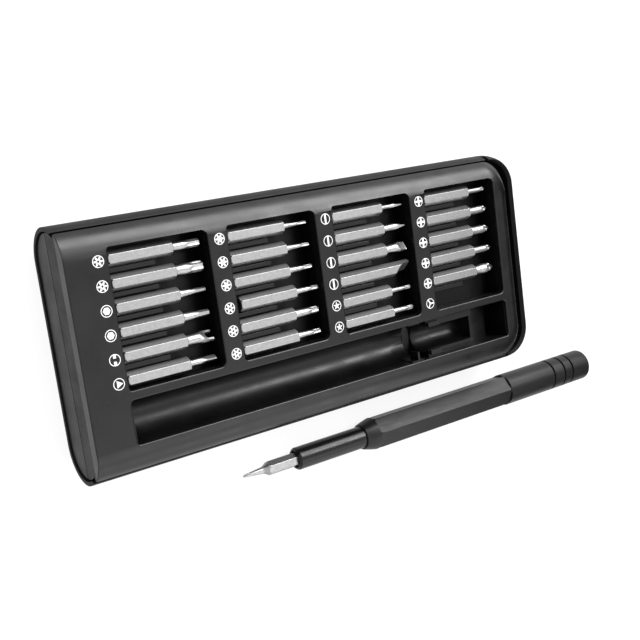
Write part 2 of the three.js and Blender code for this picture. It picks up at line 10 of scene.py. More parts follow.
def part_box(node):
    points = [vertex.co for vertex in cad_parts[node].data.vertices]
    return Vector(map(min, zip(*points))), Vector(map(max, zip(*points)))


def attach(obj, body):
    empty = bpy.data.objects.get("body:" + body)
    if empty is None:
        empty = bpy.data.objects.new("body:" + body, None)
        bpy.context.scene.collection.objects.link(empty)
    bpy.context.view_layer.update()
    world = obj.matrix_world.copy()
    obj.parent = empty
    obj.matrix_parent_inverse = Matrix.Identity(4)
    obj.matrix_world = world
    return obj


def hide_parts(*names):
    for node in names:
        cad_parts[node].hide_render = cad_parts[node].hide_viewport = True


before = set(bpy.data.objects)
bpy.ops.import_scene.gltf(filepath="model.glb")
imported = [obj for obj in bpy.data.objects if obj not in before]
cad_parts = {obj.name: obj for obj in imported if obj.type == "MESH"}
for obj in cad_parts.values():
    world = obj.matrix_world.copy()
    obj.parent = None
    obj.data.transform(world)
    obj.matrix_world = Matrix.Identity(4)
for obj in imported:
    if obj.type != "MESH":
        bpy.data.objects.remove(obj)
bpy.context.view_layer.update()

MM = 0.001

# ---- sizes, in millimetres


def low(node):
    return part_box(node)[0] / MM


def high(node):
    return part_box(node)[1] / MM


# The case lies on its back, and its closed end is towards +X
SIDE = 10.0  # round of the long sides
COVER_WALL = 1.2
LIP_Z = high("slide_cover").z
CASE_LEFT, CASE_RIGHT = low("slide_cover").x, high("slide_cover").x
HALF_WIDTH = high("slide_cover").y
COVER_CORNER = 10.0  # in plan
COVER_EDGE = 7.0  # round under the closed end
NOTCH_X = (CASE_RIGHT - 11.6, CASE_RIGHT - 10.0)  # a small notch in each lip
NOTCH_FLOOR = 12.4

TRAY_LEFT, TRAY_RIGHT = low("tray_front").x, high("tray_front").x
FACE_Z = high("tray_front").z
SHOULDER = 9.9  # round of the tray's sides above the lip
WAIST = high("tray_front").y - (HALF_WIDTH - SIDE)  # and below it, inside the cover
TRAY_CORNER = 9.5  # in plan
TRAY_END = 6.0  # round of the tray's right end
END_ROUND_DROP = 0.5  # below the face, where that round turns into a bevel
SEAM_Z = 10.2  # between the tray's two halves
LEDGE_Z = LIP_Z + 0.3  # where the tray steps out over the lip

ROWS = 6
COLUMN_PITCH, ROW_PITCH = 36.7, 6.67
FIRST_POCKET = low("bit_pin_six_lobe_large").x - 0.35
FIRST_ROW = 25.1
POCKET_LENGTH = 30.3
POCKET_Y = (FIRST_ROW - (ROWS - 1) * ROW_PITCH - 2.75, FIRST_ROW + 3.4)
POCKET_CORNERS = (0.9, 1.8)  # in plan, at its left and its right end
RIM_ROUND = 0.4
RIB_TOP = FACE_Z - 3.4
RIB_LENGTH = 14.9
RIB_ROUND = 0.22
SLOT_WIDTH = 5.22
SLOT_FLOOR = 14.9
OUTER_SLOT_START = 1.6  # how far the first and last slots stay off the pocket's round corners
SCOOP_DROP = 3.4  # how far the floor falls away under the tips
RING_X = -73.45  # middle of the first printed ring

# The driver channel, from its left end to its right one
CHANNEL_X = (-70.95, 70.05)
CHANNEL_Y = -19.9
CHANNEL_CORNERS = (1.2, 1.2)
TROUGH_R = 6.25
TROUGH_DEPTH = 11.3
TROUGH_END = 27.3
AXIS_DEPTH = TROUGH_DEPTH - 5.6  # the lying driver's axis, below the face
COLLAR_X = (26.3, 32.0)
COLLAR_R = 5.85
FINGER_GAP_X = (31.9, 35.2)
SADDLE_X = (35.1, 55.3)
SADDLE_R, SADDLE_MOUTH_R = 3.85, 5.1
SADDLE_MOUTH_END = 42.2
SHELF_START = 40.7
RAMP_START = 55.2
RAMP_REACH, RAMP_DROP = 12.35, 7.9
KEEL_WALL = 1.3
SHELF_DEPTH = 3.4
CUTTER_TOP = FACE_Z - 0.4  # inside the channel's rim, which is cut on its own

CLEAR = 1.0  # how far a cutter runs past what it cuts
INSET = 0.02  # keeps one cutter's faces off another's

AF = 4.0  # across the bit's flats
AC = AF / math.cos(math.pi / 6)  # and across its corners
BIT_Z = low("bit_star_small").z + AF / 2

# ---- meshes


def smoothstep(t):
    t = min(1.0, max(0.0, t))
    return t * t * (3 - 2 * t)


def mix(a, b, t):
    return a + (b - a) * t


def quarter(radius, drop):
    """How far a quarter round of this radius has drawn in, at a height below its end."""
    if drop >= radius:
        return 0.0
    return radius - math.sqrt(max(0.0, radius ** 2 - (radius - drop) ** 2))


def linked(name, data):
    """A new object for this data, in the scene."""
    obj = bpy.data.objects.new(name, data)
    bpy.context.scene.collection.objects.link(obj)
    return obj


def mesh_object(name, points, faces, sharp_angle=30):
    """A closed mesh from points in millimetres, with its faces turned out and smooth."""
    mesh = bpy.data.meshes.new(name)
    mesh.from_pydata([Vector(p) * MM for p in points], [], faces)
    work = bmesh.new()
    work.from_mesh(mesh)
    bmesh.ops.remove_doubles(work, verts=work.verts, dist=1e-7)
    bmesh.ops.recalc_face_normals(work, faces=work.faces)
    work.to_mesh(mesh)
    work.free()
    obj = linked(name, mesh)
    soften(obj, sharp_angle)
    return obj


def soften(obj, sharp_angle):
    obj.data.shade_smooth()
    obj.data.set_sharp_from_angle(angle=math.radians(sharp_angle))


def lofted(name, rings, sharp_angle=30):
    """Joins closed rings of equal count and caps both ends."""
    count = len(rings[0])
    points = [p for ring in rings for p in ring]
    faces = []
    for k in range(len(rings) - 1):
        for i in range(count):
            j = (i + 1) % count
            faces.append((k * count + i, k * count + j, (k + 1) * count + j, (k + 1) * count + i))
    faces.append(tuple(range(count - 1, -1, -1)))
    last = (len(rings) - 1) * count
    faces.append(tuple(range(last, last + count)))
    return mesh_object(name, points, faces, sharp_angle)


def bake_modifiers(obj):
    """Puts the result of an object's modifiers into its mesh."""
    depsgraph = bpy.context.evaluated_depsgraph_get()
    mesh = bpy.data.meshes.new_from_object(obj.evaluated_get(depsgraph))
    obj.modifiers.clear()
    old = obj.data
    obj.data = mesh
    bpy.data.meshes.remove(old)


def combine(body, others, operation, sharp_angle=30):
    """Cuts others from a body, or joins them to it, and removes them."""
    for other in others:
        modifier = body.modifiers.new("cut", "BOOLEAN")
        modifier.operation = operation
        modifier.solver = "EXACT"
        modifier.object = other
        bake_modifiers(body)
        bpy.data.objects.remove(other)
    soften(body, sharp_angle)


def level(obj):
    """Lets large flat faces keep flat shading where they run into small rounds."""
    modifier = obj.modifiers.new("level", "WEIGHTED_NORMAL")
    modifier.keep_sharp = True
    modifier.weight = 100
    return obj


def arc(cx, cy, radius, start, end, steps):
    """Points on an arc, angles in degrees."""
    points = []
    for k in range(steps + 1):
        a = math.radians(mix(start, end, k / steps))
        points.append((cx + radius * math.cos(a), cy + radius * math.sin(a)))
    return points


def outline(x0, x1, y0, y1, left, right, steps):
    """A rectangle in plan with a radius on its two left and its two right corners."""
    return (
        arc(x0 + left, y0 + left, left, 180, 270, 4)
        + arc(x1 - right, y0 + right, right, 270, 360, steps)
        + arc(x1 - right, y1 - right, right, 0, 90, steps)
        + arc(x0 + left, y1 - left, left, 90, 180, 4)
    )


def flared_rings(x, y, corners, bottom):
    """Rings of a cutter that comes up through the face, where its rim opens in a small round."""
    left, right = corners
    start = FACE_Z - RIM_ROUND
    steps = 5
    heights = [(bottom, 0.0), (start, 0.0)]
    for k in range(1, steps + 1):
        a = math.radians(90 * k / steps)
        heights.append((start + RIM_ROUND * math.sin(a), RIM_ROUND * (1 - math.cos(a))))
    heights.append((FACE_Z + CLEAR, RIM_ROUND))
    rings = []
    for z, out in heights:
        plan = outline(x[0] - out, x[1] + out, y[0] - out, y[1] + out, left + out, right + out, 6)
        rings.append([(px, py, z) for px, py in plan])
    return rings


def extruded_x(name, section, x):
    return lofted(name, [[(x[0], y, z) for y, z in section], [(x[1], y, z) for y, z in section]])


def extruded_y(name, section, y):
    return lofted(name, [[(px, y[0], z) for px, z in section], [(px, y[1], z) for px, z in section]])


def block(name, x, y, z):
    return extruded_x(name, [(y[0], z[0]), (y[1], z[0]), (y[1], z[1]), (y[0], z[1])], x)


# ---- materials


def set_inputs(node, values):
    for name, value in values.items():
        node.inputs[name].default_value = value


def shader(name, colour, roughness, metallic=0.0, specular=0.5):
    """A new material, with its node tree and its shader node."""
    material = bpy.data.materials.new(name)
    material.use_nodes = True
    tree = material.node_tree
    principled = tree.nodes["Principled BSDF"]
    set_inputs(principled, {"Base Color": (*colour, 1), "Roughness": roughness, "Metallic": metallic,
                            "Specular IOR Level": specular})
    return material, tree, principled


def noise(tree, scale, detail=3.0, stretch=(1, 1, 1), roughness=0.55):
    """Noise fixed to the object, with the given scale in cells per metre."""
    place = tree.nodes.new("ShaderNodeTexCoord")
    mapping = tree.nodes.new("ShaderNodeMapping")
    mapping.inputs["Scale"].default_value = [s * scale for s in stretch]
    texture = tree.nodes.new("ShaderNodeTexNoise")
    set_inputs(texture, {"Scale": 1.0, "Detail": detail, "Roughness": roughness})
    tree.links.new(place.outputs["Object"], mapping.inputs["Vector"])
    tree.links.new(mapping.outputs["Vector"], texture.inputs["Vector"])
    return texture.outputs["Fac"]


def ramp(tree, value, stops):
    """Maps a value through (position, colour or grey) stops."""
    node = tree.nodes.new("ShaderNodeValToRGB")
    elements = node.color_ramp.elements
    while len(elements) < len(stops):
        elements.new(0.5)
    for element, (position, colour) in zip(elements, stops):
        element.position = position
        rgb = (colour,) * 3 if isinstance(colour, (int, float)) else colour
        element.color = (*rgb, 1)
    tree.links.new(value, node.inputs["Fac"])
    return node.outputs["Color"]


def to_range(tree, value, low_value, high_value, start=0.3, end=0.7):
    """Maps a value from start..end to low_value..high_value."""
    node = tree.nodes.new("ShaderNodeMapRange")
    set_inputs(node, {"From Min": start, "From Max": end, "To Min": low_value, "To Max": high_value})
    tree.links.new(value, node.inputs["Value"])
    return node.outputs["Result"]


def blended(tree, kind, factor, first, second):
    """Blends two colours, each given as a node's output or as a tuple."""
    node = tree.nodes.new("ShaderNodeMix")
    node.data_type = "RGBA"
    node.blend_type = kind
    for socket, value in ((node.inputs[0], factor), (node.inputs[6], first), (node.inputs[7], second)):
        if hasattr(value, "is_linked"):
            tree.links.new(value, socket)
        elif isinstance(value, tuple):
            socket.default_value = (*value, 1)
        else:
            socket.default_value = value
    return node.outputs[2]


def bumped(tree, principled, heights):
    """Chains bumps from (height, strength, distance in mm)."""
    previous = None
    for height, strength, distance in heights:
        node = tree.nodes.new("ShaderNodeBump")
        set_inputs(node, {"Strength": strength, "Distance": distance * MM})
        tree.links.new(height, node.inputs["Height"])
        if previous is not None:
            tree.links.new(previous, node.inputs["Normal"])
        previous = node.outputs["Normal"]
    tree.links.new(previous, principled.inputs["Normal"])


def moulded_plastic(name, grey, roughness, grain, specular):
    """Satin moulding: a fine eroded grain, faint cloudiness, and a few pale dust specks."""
    material, tree, principled = shader(name, (grey,) * 3, roughness, specular=specular)
    fine = noise(tree, 5200, 2.0)
    cloud = noise(tree, 120, 3.0)
    speck = noise(tree, 1500, 1.0)
    scratch = noise(tree, 900, 2.0, stretch=(0.08, 1.0, 1.0))
    base = ramp(tree, cloud, [(0.3, grey * 0.86), (0.7, grey * 1.14)])
    dust = ramp(tree, speck, [(0.76, 0.0), (0.82, 1.0)])
    colour = blended(tree, "MIX", dust, base, (grey * 3.2,) * 3)
    tree.links.new(colour, principled.inputs["Base Color"])
    patches = blended(tree, "MULTIPLY", 0.5, cloud, scratch)
    rough = to_range(tree, patches, roughness - 0.07, roughness + 0.07, 0.2, 0.5)
    tree.links.new(rough, principled.inputs["Roughness"])
    bumped(tree, principled, [(fine, 0.35, grain), (scratch, 0.06, 0.02)])
    return material


def satin_steel(name, grey, roughness):
    """Bare tool steel, ground along its length, with darker blotches of oil."""
    material, tree, principled = shader(name, (grey,) * 3, roughness, metallic=1.0)
    grind = noise(tree, 9000, 2.0, stretch=(0.03, 1.0, 1.0))
    blast = noise(tree, 7000, 2.0)
    stain = noise(tree, 900, 5.0, roughness=0.7)
    shade = ramp(tree, stain, [(0.3, grey * 0.84), (0.6, grey * 1.06)])
    colour = blended(tree, "MULTIPLY", 0.35, shade, grind)
    tree.links.new(colour, principled.inputs["Base Color"])
    tree.links.new(to_range(tree, stain, roughness + 0.04, roughness - 0.02), principled.inputs["Roughness"])
    bumped(tree, principled, [(grind, 0.2, 0.012), (blast, 0.25, 0.008)])
    return material


def black_metal(name, grey, roughness, grain, specular):
    """Black finished metal: bead-blasted under its anodising or plating."""
    material, tree, principled = shader(name, (grey,) * 3, roughness, specular=specular)
    blast = noise(tree, 6500, 2.0)
    cloud = noise(tree, 160, 3.0)
    rub = noise(tree, 1400, 3.0, stretch=(0.15, 1.0, 1.0))
    shade = ramp(tree, cloud, [(0.3, grey * 0.85), (0.7, grey * 1.15)])
    colour = blended(tree, "MIX", ramp(tree, blast, [(0.6, 0.0), (0.8, 0.35)]), shade, (grey * 2.2,) * 3)
    tree.links.new(colour, principled.inputs["Base Color"])
    tree.links.new(to_range(tree, rub, roughness - 0.05, roughness + 0.07), principled.inputs["Roughness"])
    bumped(tree, principled, [(blast, grain, 0.012), (rub, 0.05, 0.01)])
    return material


# Grey, roughness, depth of the grain and specular level
TRAY_PLASTIC = moulded_plastic("tray_plastic", 0.002, 0.31, 0.010, 0.26)
# Painted shade: the pockets' floors are darker and reflect less than the face, in place of the shade among
# the bits.
POCKET_SHADE_PLASTIC = moulded_plastic("pocket_floor_painted_shade", 0.0012, 0.42, 0.014, 0.13)
# Painted shade: the channel is darker than the face, in place of the shade inside the trough.
CHANNEL_SHADE_PLASTIC = moulded_plastic("channel_painted_shade", 0.001, 0.35, 0.03, 0.26)
COVER_PLASTIC = moulded_plastic("cover_plastic", 0.0015, 0.58, 0.014, 0.17)
BACK_PLASTIC = moulded_plastic("back_plastic", 0.002, 0.45, 0.014, 0.28)
BUSH_PLASTIC = moulded_plastic("bush_plastic", 0.7, 0.4, 0.01, 0.28)
HOLDER_BLACK = black_metal("holder_black", 0.003, 0.25, 0.12, 0.19)
HANDLE_BLACK = black_metal("handle_black", 0.004, 0.40, 0.40, 0.20)
BIT_STEEL = satin_steel("bit_steel", 0.315, 0.36)
SCREW_STEEL = satin_steel("screw_steel", 0.14, 0.4)
MAGNET_METAL = satin_steel("magnet_metal", 0.24, 0.45)


def printed_ink(name):
    material, tree, principled = shader(name, (0.6, 0.6, 0.59), 0.55)
    worn = noise(tree, 2600, 3.0)
    colour = ramp(tree, worn, [(0.25, (0.34, 0.34, 0.34)), (0.5, (0.48, 0.48, 0.47))])
    tree.links.new(colour, principled.inputs["Base Color"])
    bumped(tree, principled, [(worn, 0.1, 0.01)])
    return material


WHITE_INK = printed_ink("white_ink")


def coat(obj, material):
    obj.data.materials.clear()
    obj.data.materials.append(material)


def finish(obj, material, body, nodes=()):
    """Gives a piece its material, the body it rides on and the CAD nodes it stands for."""
    coat(obj, material)
    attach(obj, body)
    if nodes:
        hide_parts(*nodes)


# ---- cover


def u_path(x_left, half, x_right, corner):
    """An open path in plan round three sides: along +Y, round the right end, back along -Y."""
    right = x_right - corner
    far = half - corner
    there = [(mix(x_left, right, k / 6), half) for k in range(6)]
    turn = arc(right, far, corner, 90, 0, 12)
    back = arc(right, -far, corner, 0, -90, 12)
    home = [(mix(right, x_left, k / 6), -half) for k in range(1, 7)]
    return there + turn + back + home


def cover_ring(z, inset):
    """The cover's outline at one height, drawn in by the round of its sides and its end."""
    radius = SIDE - inset
    side = math.sqrt(max(0.0, radius ** 2 - (z - SIDE) ** 2))
    half = HALF_WIDTH - SIDE + side
    edge = COVER_EDGE - inset
    x_right = CASE_RIGHT - inset - quarter(edge, z - inset)
    drawn_in = HALF_WIDTH - inset - half
    corner = max(3.0, COVER_CORNER - inset - 0.35 * drawn_in)
    return [(x, y, z) for x, y in u_path(CASE_LEFT, half, x_right, corner)]


def cover_rings():
    """Up the outside of the cover, over its lip, and back down the inside."""
    angles = [math.radians(-90 + 5 * k) for k in range(25)]
    outer = [SIDE + SIDE * math.sin(a) for a in angles]
    inner = [SIDE + (SIDE - COVER_WALL) * math.sin(a) for a in angles]
    lip = [(LIP_Z - 0.2, 0.0), (LIP_Z - 0.06, 0.06), (LIP_Z, 0.2), (LIP_Z - 0.03, 0.32), (LIP_Z - 0.12, 0.4),
           (LIP_Z - 0.9, COVER_WALL - 0.1), (LIP_Z - 1.0, COVER_WALL)]
    rings = [cover_ring(z, 0.0) for z in outer if z < LIP_Z - 0.3]
    rings += [cover_ring(z, inset) for z, inset in lip]
    rings += [cover_ring(z, COVER_WALL) for z in reversed(inner) if z < LIP_Z - 1.1]
    return rings


def make_cover():
    """One shell: the base, two full-round sides and the closed end."""
    rings = cover_rings()
    count = len(rings[0])
    points = [p for ring in rings for p in ring]
    faces = []
    for k in range(len(rings) - 1):
        for i in range(count - 1):
            faces.append((k * count + i, k * count + i + 1, (k + 1) * count + i + 1, (k + 1) * count + i))
    last = (len(rings) - 1) * count
    faces += [tuple(range(count)), tuple(range(last, last + count))]
    starts = [k * count for k in range(len(rings))]
    ends = [k * count + count - 1 for k in range(len(rings))]
    faces.append(tuple(starts + ends[::-1]))
    cover = mesh_object("cover_shell", points, faces, 28)
    notches = []
    for side in (-1, 1):
        y = sorted((side * (HALF_WIDTH - 9), side * (HALF_WIDTH + CLEAR)))
        notches.append(block("notch", NOTCH_X, y, (NOTCH_FLOOR, LIP_Z + CLEAR)))
    combine(cover, notches, "DIFFERENCE", 28)
    finish(level(cover), COVER_PLASTIC, "cover", ["slide_cover"])


# ---- tray


def tray_end_inset(drop):
    """How far the right end has drawn in at a depth below the face: a short round, then a steep bevel."""
    if drop < END_ROUND_DROP:
        return quarter(TRAY_END, drop)
    t = min(1.0, (drop - END_ROUND_DROP) / (TRAY_END - END_ROUND_DROP))
    return quarter(TRAY_END, END_ROUND_DROP) * (1 - t)


def tray_ring(z, half):
    """The tray's outline at one height, with a soft left edge and a fuller round at the right."""
    drop = FACE_Z - z
    x_left = TRAY_LEFT + quarter(0.35, drop)
    x_right = TRAY_RIGHT - tray_end_inset(drop)
    drawn_in = HALF_WIDTH - half
    corner = max(2.5, TRAY_CORNER - 0.55 * drawn_in)
    return [(x, y, z) for x, y in outline(x_left, x_right, -half, half, 0.3, corner, 12)]


def tray_half_width(z, radius):
    """Half the tray's width at one height, on a round of this radius."""
    return HALF_WIDTH - SIDE + math.sqrt(max(0.0, radius ** 2 - (z - SIDE) ** 2))


def tray_block():
    """The upper half before it is cut: a waist in the cover, a foot over its lip, and round sides."""
    rings = [tray_ring(z, tray_half_width(z, WAIST)) for z in (SEAM_Z, 12.0, 13.7, LEDGE_Z)]
    foot = LEDGE_Z + 0.6
    edge = tray_half_width(foot, SHOULDER)
    for k in range(5):
        a = math.radians(90 * k / 5)
        rings.append(tray_ring(foot - 0.5 * math.cos(a), edge - 0.35 + 0.35 * math.sin(a)))
    start = math.asin((foot - SIDE) / SHOULDER)
    steps = 26
    for k in range(steps + 1):
        a = mix(start, math.pi / 2, k / steps)
        rings.append(tray_ring(SIDE + SHOULDER * math.sin(a), HALF_WIDTH - SIDE + SHOULDER * math.cos(a)))
    return lofted("tray_face", rings)


def slot_section(y_low, y_high):
    """A slot across the ribs: square floor, and a small round on each rib's edge."""
    start = RIB_TOP - RIB_ROUND
    steps = 4
    rounds = []
    for k in range(1, steps + 1):
        a = math.radians(90 * k / steps)
        rounds.append((RIB_ROUND * (1 - math.cos(a)), start + RIB_ROUND * math.sin(a)))
    points = [(y_low, SLOT_FLOOR), (y_high, SLOT_FLOOR), (y_high, start)]
    points += [(y_high + out, z) for out, z in rounds]
    points += [(y_high + RIB_ROUND, RIB_TOP + CLEAR), (y_low - RIB_ROUND, RIB_TOP + CLEAR)]
    points += [(y_low - out, z) for out, z in reversed(rounds)]
    points.append((y_low, start))
    return points


def scoop_section(x):
    """What falls away under the tips in a pocket that starts at x: a floor that curves down."""
    reach = POCKET_LENGTH - RIB_LENGTH - INSET
    steps = 24
    points = [(x + RIB_LENGTH, RIB_TOP + CLEAR), (x + RIB_LENGTH, SLOT_FLOOR)]
    for k in range(1, steps + 1):
        t = k / steps
        points.append((x + RIB_LENGTH + reach * t, SLOT_FLOOR - SCOOP_DROP * t ** 3))
    points.append((x + POCKET_LENGTH - INSET, RIB_TOP + CLEAR))
    return points


def pocket_cutters(column):
    """One column's pocket, its six slots and the scoop under its tips."""
    x = FIRST_POCKET + column * COLUMN_PITCH
    inside = (POCKET_Y[0] + INSET, POCKET_Y[1] - INSET)
    cutters = [lofted("pocket", flared_rings((x, x + POCKET_LENGTH), POCKET_Y, POCKET_CORNERS, RIB_TOP))]
    for row in range(ROWS):
        y = FIRST_ROW - row * ROW_PITCH
        y_low = inside[0] if row == ROWS - 1 else y - SLOT_WIDTH / 2
        y_high = inside[1] if row == 0 else y + SLOT_WIDTH / 2
        if row in (0, ROWS - 1):
            along_x = (x + OUTER_SLOT_START, x + RIB_LENGTH + CLEAR)
            cutters.append(block("outer_slot", along_x, (y_low, y_high), (SLOT_FLOOR, RIB_TOP + CLEAR)))
        else:
            along_x = (x + INSET, x + RIB_LENGTH + CLEAR)
            cutters.append(extruded_x("slot", slot_section(y_low, y_high), along_x))
    cutters.append(extruded_y("scoop", scoop_section(x), inside))
    return cutters


def trough_section(radius, axis_depth):
    """A half-round trough about an axis at the given depth, open to above the face."""
    axis = FACE_Z - axis_depth
    steps = 20
    points = []
    for k in range(steps + 1):
        a = math.radians(180 + 180 * k / steps)
        points.append((CHANNEL_Y + radius * math.cos(a), axis + radius * math.sin(a)))
    points += [(CHANNEL_Y + radius, CUTTER_TOP), (CHANNEL_Y - radius, CUTTER_TOP)]
    return points


def flared_mouth():
    """Round rings that narrow from the finger gap into the saddle."""
    steps = 8
    rings = []
    for k in range(steps + 1):
        t = k / steps
        radius = mix(SADDLE_MOUTH_R, SADDLE_R, t ** 0.7)
        x = mix(SADDLE_X[0], SADDLE_MOUTH_END, t)
        rings.append([(x, CHANNEL_Y + radius * math.cos(a), FACE_Z - AXIS_DEPTH + radius * math.sin(a))
                      for a in (math.radians(6 * i) for i in range(60))])
    return rings


def deep_end_section():
    """The pocket at the channel's right end, which a curved ramp leads down into."""
    steps = 16
    floor = FACE_Z - TROUGH_DEPTH
    x_end = CHANNEL_X[1] - 0.4
    points = [(RAMP_START, CUTTER_TOP), (RAMP_START, FACE_Z - SHELF_DEPTH)]
    for k in range(1, steps + 1):
        a = math.radians(90 - 90 * k / steps)
        points.append((RAMP_START + RAMP_REACH * math.cos(a), floor + RAMP_DROP * math.sin(a)))
    points += [(x_end, floor), (x_end, CUTTER_TOP)]
    return points


def channel_cutters():
    """The driver channel: trough, collar, finger gap, saddle for the holder, and deep end."""
    wall = (CHANNEL_Y - TROUGH_R, CHANNEL_Y + TROUGH_R)
    inside = (wall[0] + INSET, wall[1] - INSET)
    trough = trough_section(TROUGH_R - INSET, TROUGH_DEPTH - TROUGH_R)
    shelf = (inside[0], CHANNEL_Y - 4.85)
    return [
        lofted("rim", flared_rings(CHANNEL_X, wall, CHANNEL_CORNERS, FACE_Z - 0.9)),
        extruded_x("trough", trough, (CHANNEL_X[0] + 0.4, TROUGH_END)),
        extruded_x("collar", trough_section(COLLAR_R, AXIS_DEPTH), COLLAR_X),
        block("finger_gap", FINGER_GAP_X, inside, (FACE_Z - TROUGH_DEPTH, CUTTER_TOP)),
        block("over_saddle", SADDLE_X, inside, (FACE_Z - 2, CUTTER_TOP)),
        extruded_x("saddle", trough_section(SADDLE_R, AXIS_DEPTH), SADDLE_X),
        lofted("mouth", flared_mouth()),
        block("shelf", (SHELF_START, SADDLE_X[1]), shelf, (FACE_Z - SHELF_DEPTH, CUTTER_TOP)),
        extruded_y("deep_end", deep_end_section(), inside),
    ]


def channel_details():
    """Two small tabs at the saddle's mouth, and the rib beside the finger gap."""
    details = []
    for side in (-1, 1):
        y = sorted((CHANNEL_Y + side * 3.9, CHANNEL_Y + side * 5.35))
        details.append(block("tab", (35.6, 40.1), y, (FACE_Z - 2.5, FACE_Z - 0.9)))
    rib = (CHANNEL_Y - 6.75, CHANNEL_Y - 3.25)
    details.append(block("stop_rib", (29.8, 30.5), rib, (FACE_Z - 5, FACE_Z - 0.9)))
    return details


def keel(clearance):
    """The part of the channel that stands below the seam, inside the tray's lower half."""
    x = (CHANNEL_X[0] - KEEL_WALL - clearance, CHANNEL_X[1] + 0.2 + clearance)
    reach = TROUGH_R + KEEL_WALL + clearance
    bottom = FACE_Z - TROUGH_DEPTH - KEEL_WALL - clearance
    return block("keel", x, (CHANNEL_Y - reach, CHANNEL_Y + reach), (bottom, SEAM_Z + 2))


def mark_painted_shade(tray):
    """Paints shade into the pockets' floors and the channel: their faces get darker materials than the tray's
    face.
    """
    tray.data.materials.append(POCKET_SHADE_PLASTIC)
    tray.data.materials.append(CHANNEL_SHADE_PLASTIC)
    for face in tray.data.polygons:
        y, z = face.center.y / MM, face.center.z / MM
        # Painted shade on the pocket floors, below the rib tops.
        if POCKET_Y[0] < y < POCKET_Y[1] and z < RIB_TOP - 0.3:
            face.material_index = 1
        # Painted shade in the channel, below its rim.
        if abs(y - CHANNEL_Y) < TROUGH_R + 0.1 and SEAM_Z - 3 < z < FACE_Z - 1.5:
            face.material_index = 2


def make_tray():
    """The tray's upper half, with its face, four pockets and the driver channel."""
    tray = tray_block()
    combine(tray, [keel(0)], "UNION")
    cutters = channel_cutters()
    for column in range(4):
        cutters += pocket_cutters(column)
    combine(tray, cutters, "DIFFERENCE")
    combine(tray, channel_details(), "UNION")
    finish(level(tray), TRAY_PLASTIC, "tray", ["tray_front"])
    mark_painted_shade(tray)


def make_back():
    """The tray's lower half, which the channel's keel stands in."""
    rings = []
    for k in range(19):
        a = math.radians(-90 + 5 * k)
        z = min(SIDE + WAIST * math.sin(a), SEAM_Z - 0.3)
        half = tray_half_width(z, WAIST)
        x_right = TRAY_RIGHT - quarter(TRAY_END, z - (SIDE - WAIST))
        corner = max(3.0, TRAY_CORNER - 0.55 * (HALF_WIDTH - half))
        rings.append([(x, y, z) for x, y in outline(TRAY_LEFT, x_right, -half, half, 0.3, corner, 12)])
    back = lofted("tray_under", rings)
    combine(back, [keel(0.3)], "DIFFERENCE")
    finish(level(back), BACK_PLASTIC, "tray", ["tray_back"])


# ---- printed rings

INK_LIFT = 0.015
PRINT_STEPS = 72


def ringed(cx, cy, outer_at, inner_at):
    """A flat band between two outlines given as radius by angle."""
    points, faces = [], []
    for k in range(PRINT_STEPS):
        a = math.tau * k / PRINT_STEPS
        for r in (outer_at(a), inner_at(a)):
            points.append((cx + r * math.cos(a), cy + r * math.sin(a)))
        j = (k + 1) % PRINT_STEPS
        faces.append((2 * k, 2 * j, 2 * j + 1, 2 * k + 1))
    return points, faces


def filled(cx, cy, radius_at):
    """A flat shape inside an outline given as radius by angle."""
    points = [(cx, cy)]
    for k in range(PRINT_STEPS):
        a = math.tau * k / PRINT_STEPS
        r = radius_at(a)
        points.append((cx + r * math.cos(a), cy + r * math.sin(a)))
    faces = [(0, 1 + k, 1 + (k + 1) % PRINT_STEPS) for k in range(PRINT_STEPS)]
    return points, faces


def bar(cx, cy, start, end, width):
    """A flat bar between two points given from the sign's middle."""
    length = math.hypot(end[0] - start[0], end[1] - start[1])
    nx = -(end[1] - start[1]) / length * width / 2
    ny = (end[0] - start[0]) / length * width / 2
    corners = [(start[0] + nx, start[1] + ny), (start[0] - nx, start[1] - ny),
               (end[0] - nx, end[1] - ny), (end[0] + nx, end[1] + ny)]
    return [(cx + x, cy + y) for x, y in corners], [(0, 1, 2, 3)]


def lobed(radius, depth):
    """Six round-bottomed lobes, their hollows cut in by a share of the radius."""
    return lambda a: radius * (1 - depth + depth * abs(math.cos(3 * a)) ** 1.4)


def regular(count, apothem):
    """A regular polygon from the distance of its sides."""
    step = math.tau / count
    return lambda a: apothem / math.cos(a % step - step / 2)


def star_outline(outer, inner):
    """A five-pointed star with one point up."""
    step = math.tau / 5

    def radius(a):
        t = abs(((a - math.pi / 2) % step) / step - 0.5) * 2
        return mix(inner, outer, t ** 1.7)
    return radius


def symbol(kind, cx, cy):
    """The printed sign for one kind of tip, as a list of flat shapes inside its ring."""
    if kind == "six_lobe":
        return [filled(cx, cy, lobed(1.4, 0.62))]
    if kind == "pin_six_lobe":
        return [ringed(cx, cy, lobed(1.4, 0.62), lambda a: 0.32)]
    if kind == "hexagon":
        return [filled(cx, cy, regular(6, 0.96))]
    if kind == "triangle":
        return [filled(cx, cy, regular(3, 0.6))]
    if kind == "star":
        return [filled(cx, cy, star_outline(1.28, 0.42))]
    if kind == "two_prong":
        return [bar(cx, cy, (0, 0.45), (0, 1.5), 0.85), bar(cx, cy, (0, -1.5), (0, -0.45), 0.85)]
    if kind == "slotted":
        return [bar(cx, cy, (0, -1.5), (0, 1.5), 0.62)]
    if kind == "cross":
        return [bar(cx, cy, (-1.5, 0), (1.5, 0), 0.66), bar(cx, cy, (0, -1.5), (0, 1.5), 0.66)]
    arms = [filled(cx, cy, lambda a: 0.42)]
    for k in range(3):
        a = math.radians(120 * k)
        arms.append(bar(cx, cy, (0, 0), (1.5 * math.cos(a), 1.5 * math.sin(a)), 0.42))
    return arms


# The signs in each column of the tray, from the back row to the front one
SYMBOLS = [
    ["pin_six_lobe"] * 2 + ["hexagon"] * 2 + ["two_prong", "triangle"],
    ["six_lobe"] * 3 + ["pin_six_lobe"] * 3,
    ["slotted"] * 4 + ["star"] * 2,
    ["cross"] * 5 + ["three_wing"],
]


